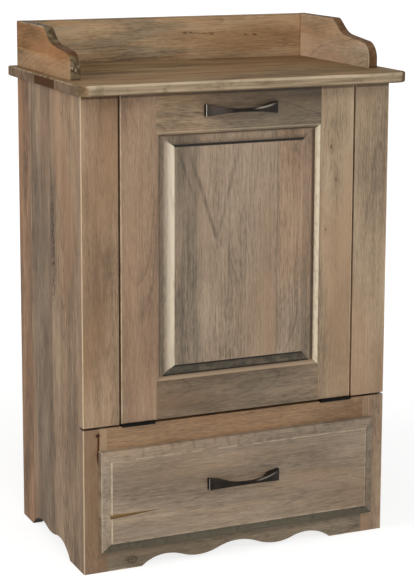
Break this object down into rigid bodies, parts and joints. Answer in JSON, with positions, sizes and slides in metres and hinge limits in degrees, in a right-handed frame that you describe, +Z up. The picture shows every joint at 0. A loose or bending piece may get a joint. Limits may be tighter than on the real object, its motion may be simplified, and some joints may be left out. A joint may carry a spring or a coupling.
{
  "type": "tilt-out trash bin cabinet",
  "caption": "Wooden waste bin cabinet with a raised-panel door that tilts out on bottom hinges, a drawer below it, a galleried top and scalloped feet.",
  "frame": {"origin": "on the floor, under the middle of the whole object's width and depth", "axes": "+Z up; +X to the right of someone who faces the door; +Y from the front to the back, so the door faces -Y"},
  "size_m": [0.646, 0.397, 0.976],
  "materials": {
    "stained_wood": "maple with a weathered grey-brown stain, satin lacquer",
    "clear_wood": "clear-lacquered maple",
    "plywood": "maple-faced plywood, clear-lacquered",
    "dark_bronze": "die-cast zinc with a dark bronze coating",
    "hinge_black": "black powder-coated steel",
    "zinc_steel": "bright zinc-plated steel",
    "catch_case": "moulded brown plastic",
    "bin_plastic": "moulded white polypropylene"
  },
  "bodies": {
    "cabinet": {"side_panel_left": "stained_wood", "side_panel_right": "stained_wood", "upper_stile_left": "stained_wood", "upper_stile_right": "stained_wood", "lower_stile_left": "stained_wood", "lower_stile_right": "stained_wood", "middle_rail": "stained_wood", "apron": "stained_wood", "top_slab": "stained_wood", "gallery_back": "stained_wood", "gallery_side_left": "stained_wood", "gallery_side_right": "stained_wood", "back_panel": "plywood", "divider_shelf": "clear_wood", "bottom_panel": "plywood", "stretcher_front": "clear_wood", "stretcher_back": "clear_wood", "slide_spacer_left": "clear_wood", "slide_spacer_right": "clear_wood", "magnetic_catches": "catch_case", "hinge_frame_leaf_left": "hinge_black", "hinge_frame_leaf_right": "hinge_black", "hinge_pins": "hinge_black", "hinge_screws_frame": "hinge_black", "slide_outer_left": "zinc_steel", "slide_outer_right": "zinc_steel"},
    "door": {"door_stile_left": "stained_wood", "door_stile_right": "stained_wood", "door_rail_top": "stained_wood", "door_rail_bottom": "stained_wood", "door_panel": "stained_wood", "door_pull": "dark_bronze", "door_pull_screws": "zinc_steel", "hinge_door_leaf_left": "hinge_black", "hinge_door_leaf_right": "hinge_black", "hinge_screws_door": "hinge_black", "catch_plates": "zinc_steel", "carrier_side_left": "clear_wood", "carrier_side_right": "clear_wood", "carrier_base": "clear_wood", "carrier_back": "clear_wood", "carrier_cleat_left": "clear_wood", "carrier_cleat_right": "clear_wood", "stop_block_left": "clear_wood", "stop_block_right": "clear_wood", "waste_bin": "bin_plastic"},
    "drawer": {"drawer_front": "stained_wood", "drawer_side_left": "clear_wood", "drawer_side_right": "clear_wood", "drawer_box_front": "clear_wood", "drawer_box_back": "clear_wood", "drawer_bottom": "plywood", "drawer_pull": "dark_bronze", "drawer_pull_screws": "zinc_steel", "drawer_front_screws": "zinc_steel", "slide_inner_left": "zinc_steel", "slide_inner_right": "zinc_steel"},
    "left_slide_middle": {"slide_middle_left": "zinc_steel"},
    "right_slide_middle": {"slide_middle_right": "zinc_steel"}
  },
  "joints": [
    {"name": "door_tilt", "type": "hinge", "parent": "cabinet", "child": "door", "pos_m": [0, -0.155, 0.272], "axis": [1, 0, 0], "range_deg": [0, 38]},
    {"name": "drawer_slide", "type": "slide", "parent": "cabinet", "child": "drawer", "axis": [0, -1, 0], "range_m": [0, 0.28]},
    {"name": "left_slide_middle_run", "type": "slide", "parent": "cabinet", "child": "left_slide_middle", "axis": [0, -1, 0], "range_m": [0, 0.14]},
    {"name": "right_slide_middle_run", "type": "slide", "parent": "cabinet", "child": "right_slide_middle", "axis": [0, -1, 0], "range_m": [0, 0.14]}
  ],
  "couplings": [
    {"joint": "left_slide_middle_run", "follows": "drawer_slide", "ratio": 0.5},
    {"joint": "right_slide_middle_run", "follows": "drawer_slide", "ratio": 0.5}
  ]
}
